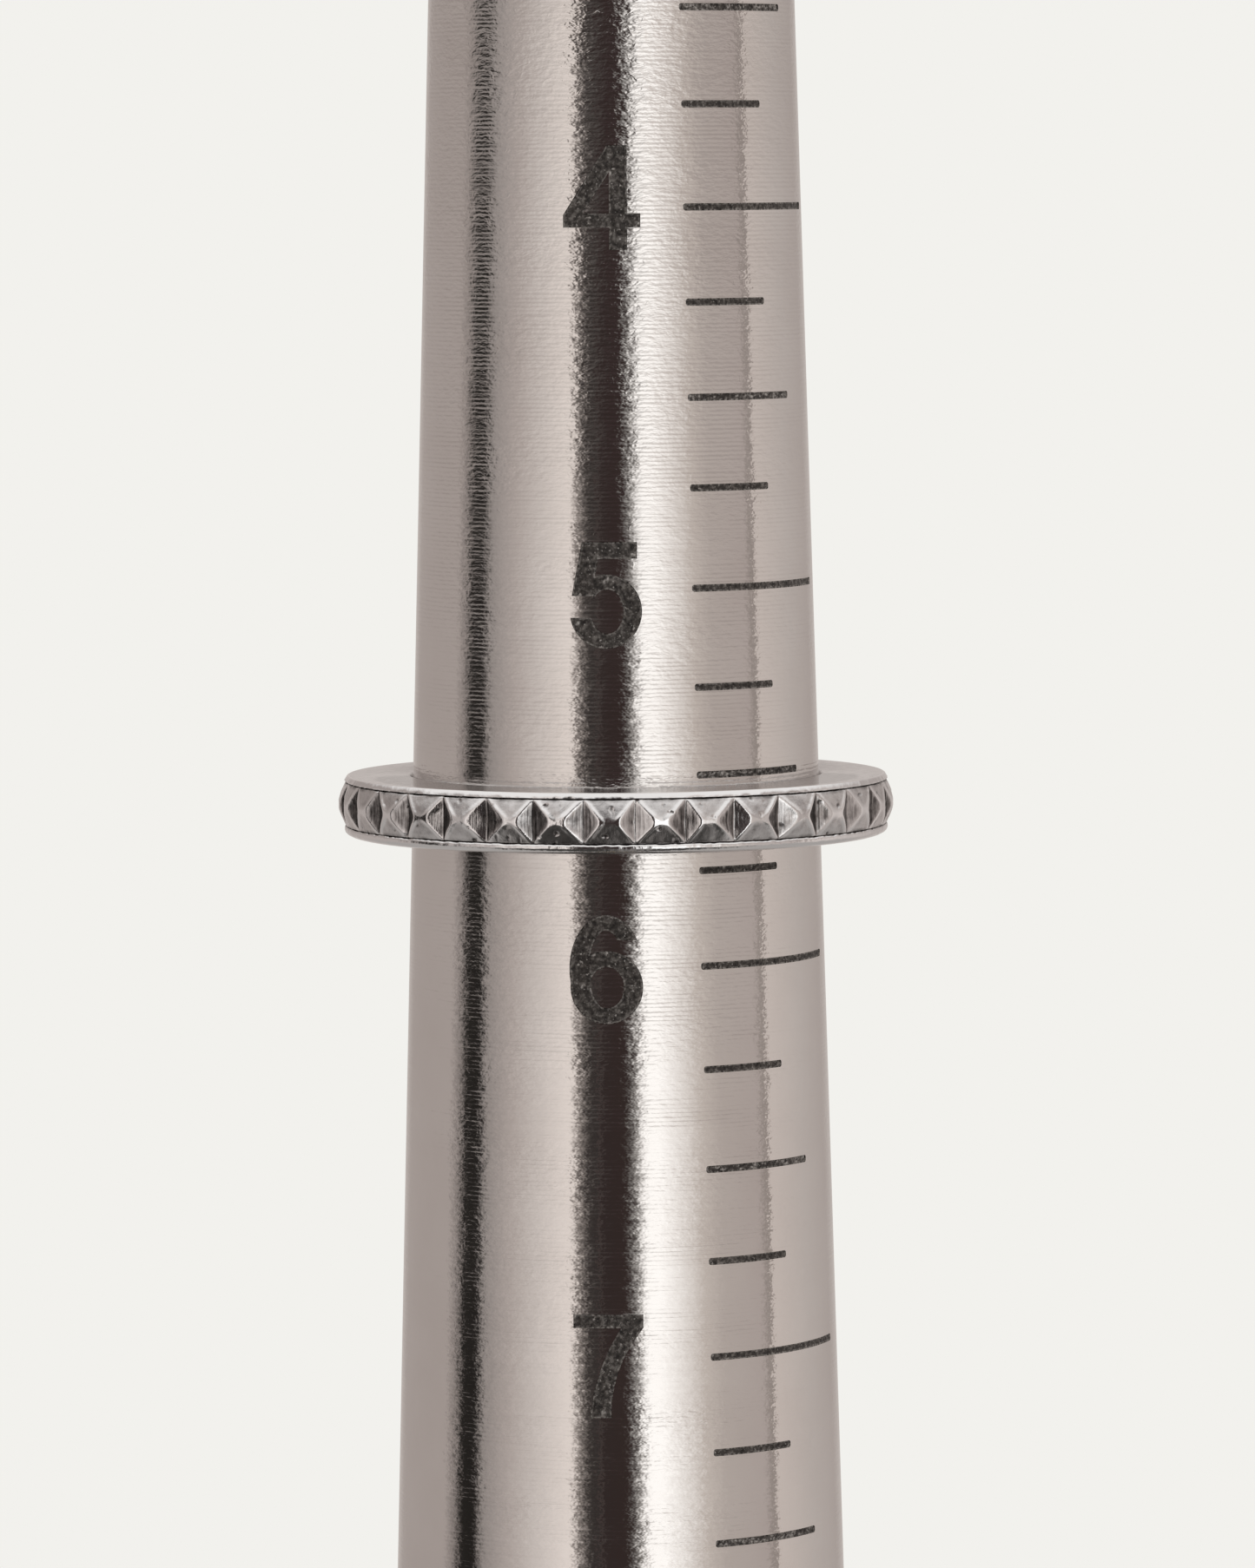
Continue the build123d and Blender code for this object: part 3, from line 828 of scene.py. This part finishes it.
def make_handle(material):
    """Turned handle: the CAD outside, a spigot in the ferrule and a blind hole for the tang."""
    seat_z = ferrule_low.z
    outer = [(r - HANDLE_INSET, z) for r, z in outside_of("handle", HANDLE_STEPS) if 0 < z < seat_z]
    profile = [(0, 0), (BUTT_RADIUS, 0)] + outer
    profile += [
        (outer[-1][0], seat_z), (FERRULE_BORE, seat_z), (FERRULE_BORE, handle_high.z),
        (TANG_BORE, handle_high.z), (TANG_BORE, TANG_BORE_END), (0, TANG_BORE_END),
    ]
    mesh = lathe("wooden_handle", profile, HANDLE_COLUMNS, 50.0)
    attribute = mesh.attributes.new("groove", "FLOAT", "POINT")
    depth = []
    for vert in mesh.vertices:
        gap = min(abs(vert.co.z - z) for z in GROOVES)
        depth.append(max(1.0 - gap / GROOVE_HALF, 0.0))
    attribute.data.foreach_set("value", depth)
    return add_piece("wooden_handle", mesh, material, "mandrel", "handle_wood", "handle")


FERRULE_COLUMNS = 160
PIN_PROUD = 0.10 * MM
FERRULE_CROWN = 1.5 * MM
FERRULE_TOP_ROUND = 0.8 * MM
FERRULE_FOOT_ROUND = 0.25 * MM
FERRULE_LINES = (ferrule_low.z + 2.2 * MM, ferrule_high.z - 3.0 * MM)
FERRULE_LINE_HALF = 0.32 * MM
FERRULE_LINE_RADIUS = 0.34 * MM
FERRULE_LINE_OUT = 0.12 * MM


def make_ferrule(material):
    """Brass collar, a little slimmer than the pin is long, so that the pin's ends stand proud."""
    outer = ferrule_high.x - PIN_PROUD
    low = ferrule_low.z
    high = ferrule_high.z
    foot = FERRULE_FOOT_ROUND
    edge = FERRULE_TOP_ROUND
    profile = [(FERRULE_BORE, low)]
    profile += arc_points((outer - foot, low + foot), foot, -90, 0, 5)
    for line_z in FERRULE_LINES:
        profile += [(outer, line_z - FERRULE_LINE_HALF)]
        profile += arc_points((outer + FERRULE_LINE_OUT, line_z), FERRULE_LINE_RADIUS, 202, 158, 6)
        profile += [(outer, line_z + FERRULE_LINE_HALF)]
    profile += arc_points((outer - edge, high - edge), edge, 0, 90, 8)
    profile += [(TANG_BORE, high), (TANG_BORE, high - FERRULE_CROWN), (FERRULE_BORE, high - FERRULE_CROWN)]
    mesh = lathe("brass_ferrule", profile, FERRULE_COLUMNS, 40.0)
    return add_piece("brass_ferrule", mesh, material, "mandrel", "ferrule_brass", "ferrule")


PIN_COLUMNS = 48
PIN_DOME = 0.06 * MM


def make_pin(material):
    """Cross pin with lightly domed ends, turned about X."""
    half = pin_high.x
    profile = [
        (0, -half), (PIN_RADIUS * 0.5, -half + 0.01 * MM),
        (PIN_RADIUS * 0.9, -half + 0.03 * MM), (PIN_RADIUS, -half + PIN_DOME),
    ]
    profile += [(r, -z) for r, z in reversed(profile)]
    mesh = lathe("cross_pin", profile, PIN_COLUMNS, 50.0)
    mesh.transform(Matrix.Translation((0, 0, PIN_Z)) @ Matrix.Rotation(math.pi / 2, 4, "Y"))
    return add_piece("cross_pin", mesh, material, "mandrel", "pin_steel", "tang_pin")


# ---- Stage, light and camera ----
FLOOR_RADIUS = 1.2
FLOOR_THICKNESS = 0.01
FLOOR_COLUMNS = 96


def make_stage(material):
    """Round sheet of pale paper under the butt, left out of reflections."""
    profile = [(0, 0), (FLOOR_RADIUS, 0), (FLOOR_RADIUS, -FLOOR_THICKNESS), (0, -FLOOR_THICKNESS)]
    mesh = lathe("pale_floor", profile, FLOOR_COLUMNS)
    floor = bpy.data.objects.new("pale_floor", mesh)
    bpy.context.scene.collection.objects.link(floor)
    mesh.materials.append(material)
    floor.location.z = cad_low.z
    floor.visible_glossy = False


def srgb(*levels):
    """Linear colour from 0 to 255 screen levels."""
    return tuple(((c / 255 + 0.055) / 1.055) ** 2.4 for c in levels)


# What polished steel shows of the studio: bearing in degrees from -Y towards +X, and screen colour.
LOW_BELT = [
    (-180, (180, 173, 169)), (-154, (156, 148, 144)), (-104, (158, 150, 146)), (-97, (128, 121, 118)),
    (-91, (36, 34, 32)), (-82, (32, 30, 28)), (-76, (138, 132, 129)), (-60, (168, 160, 156)),
    (-45, (192, 185, 181)), (-25.5, (219, 211, 206)), (-21, (126, 119, 115)), (-16, (57, 53, 51)),
    (-11, (47, 42, 41)), (-10.3, (96, 86, 83)), (-9.6, (47, 40, 39)), (4, (48, 39, 37)),
    (7, (84, 80, 78)), (10, (140, 137, 134)), (13.5, (235, 233, 231)), (15.5, (255, 254, 252)),
    (22, (255, 254, 252)), (46, (186, 178, 172)), (57, (170, 162, 157)), (82, (164, 155, 151)),
    (88, (132, 124, 119)), (90, (190, 181, 176)), (120, (174, 167, 163)), (150, (160, 152, 148)),
    (180, (180, 173, 169)),
]
HIGH_BELT = [
    (-180, (176, 169, 165)), (-166, (166, 158, 154)), (-154, (144, 136, 132)), (-97, (144, 136, 132)),
    (-91, (132, 126, 123)), (-82, (132, 126, 123)), (-74, (148, 142, 139)), (-60, (160, 152, 148)),
    (-45, (180, 173, 169)), (-25.5, (204, 197, 192)), (-21.5, (140, 133, 129)), (-18.5, (88, 83, 81)),
    (-12, (70, 66, 64)), (-2, (54, 44, 44)), (3, (54, 44, 44)), (8, (132, 130, 128)), (13, (190, 188, 186)),
    (20, (214, 211, 208)), (30, (200, 194, 190)), (46, (174, 166, 161)), (57, (156, 148, 144)),
    (82, (152, 143, 139)), (88, (130, 122, 118)), (91, (176, 168, 163)), (120, (166, 159, 155)),
    (150, (152, 144, 140)), (180, (176, 169, 165)),
]
TABLE_BELT = [
    (-180, (150, 146, 143)), (-75, (150, 146, 143)), (-45, (62, 60, 58)), (-8, (52, 50, 48)),
    (12, (120, 116, 113)), (24, (52, 50, 48)), (42, (62, 60, 58)), (70, (150, 146, 143)),
    (180, (150, 146, 143)),
]
CEILING = (0.90, 0.88, 0.86)
PAPER = (242, 241, 237)
STEEL_SHARE = 0.76               # how much light the steel gives back
BRIGHTEST = 1.35


def make_world():
    """Soft light all round, with the softboxes and gaps of the studio; the camera sees plain paper."""
    world = bpy.data.worlds.new("studio")
    bpy.context.scene.world = world
    world.use_nodes = True
    nodes = Nodes(world.node_tree)
    split = nodes.new("ShaderNodeSeparateXYZ")
    nodes.link(nodes.new("ShaderNodeTexCoord").outputs["Generated"], split.inputs["Vector"])
    bearing = nodes.math("ARCTAN2", split.outputs["X"], nodes.math("MULTIPLY", split.outputs["Y"], -1.0))
    turn = nodes.spread(bearing, -math.pi, math.pi)

    def belt(stops):
        lights = []
        for degrees, colour in stops:
            lights.append((degrees / 360 + 0.5, [c / STEEL_SHARE / BRIGHTEST for c in srgb(*colour)]))
        return nodes.ramp(turn, lights)

    height = split.outputs["Z"]
    tone = nodes.mix(nodes.spread(height, -0.02, 0.12), belt(LOW_BELT), belt(HIGH_BELT))
    ceiling = tuple(c / BRIGHTEST for c in CEILING)
    tone = nodes.mix(nodes.spread(height, 0.35, 0.7), tone, ceiling)
    tone = nodes.mix(nodes.spread(height, -0.3, -0.55), tone, belt(TABLE_BELT))
    studio = nodes.new("ShaderNodeBackground")
    nodes.link(tone, studio.inputs["Color"])
    studio.inputs["Strength"].default_value = BRIGHTEST
    paper = nodes.new("ShaderNodeBackground")
    paper.inputs["Color"].default_value = (*srgb(*PAPER), 1.0)
    seen = nodes.new("ShaderNodeLightPath").outputs["Is Camera Ray"]
    choice = nodes.new("ShaderNodeMixShader")
    nodes.link(seen, choice.inputs["Fac"])
    nodes.link(studio.outputs["Background"], choice.inputs[1])
    nodes.link(paper.outputs["Background"], choice.inputs[2])
    output = nodes.new("ShaderNodeOutputWorld")
    nodes.link(choice.outputs["Shader"], output.inputs["Surface"])


CAMERA_LENS = 191.74
CAMERA_SENSOR = 36.0
CAMERA_DISTANCE = 331.1 * MM
CAMERA_RISE = 16.41 * MM         # above the size 5 line
CAMERA_DIP = math.radians(4.24)
CAMERA_YAW = math.radians(0.079)
CAMERA_ROLL = math.radians(-0.341)


def make_camera():
    """Long lens in front of the scale, looking a little down on the ring."""
    data = bpy.data.cameras.new("camera")
    data.lens = CAMERA_LENS
    data.sensor_width = CAMERA_SENSOR
    data.clip_start = 0.01
    camera = bpy.data.objects.new("camera", data)
    bpy.context.scene.collection.objects.link(camera)
    level = math.cos(CAMERA_DIP)
    forward = Vector((math.sin(CAMERA_YAW) * level, math.cos(CAMERA_YAW) * level, -math.sin(CAMERA_DIP)))
    right = forward.cross(Vector((0, 0, 1))).normalized()
    up = right.cross(forward)
    rolled_right = right * math.cos(CAMERA_ROLL) + up * math.sin(CAMERA_ROLL)
    rolled_up = up * math.cos(CAMERA_ROLL) - right * math.sin(CAMERA_ROLL)
    turn = Matrix((rolled_right, rolled_up, -forward)).transposed().to_4x4()
    camera.matrix_world = Matrix.Translation((0, -CAMERA_DISTANCE, size_z(5) + CAMERA_RISE)) @ turn
    bpy.context.scene.camera = camera


bpy.context.scene.view_settings.view_transform = "Standard"
make_world()
make_stage(plain_floor())
make_camera()
make_blade(turned_steel())
make_marks(burnt_marking())
make_handle(oiled_wood())
make_ferrule(satin_brass())
make_pin(filed_steel())
make_ring(worn_silver())
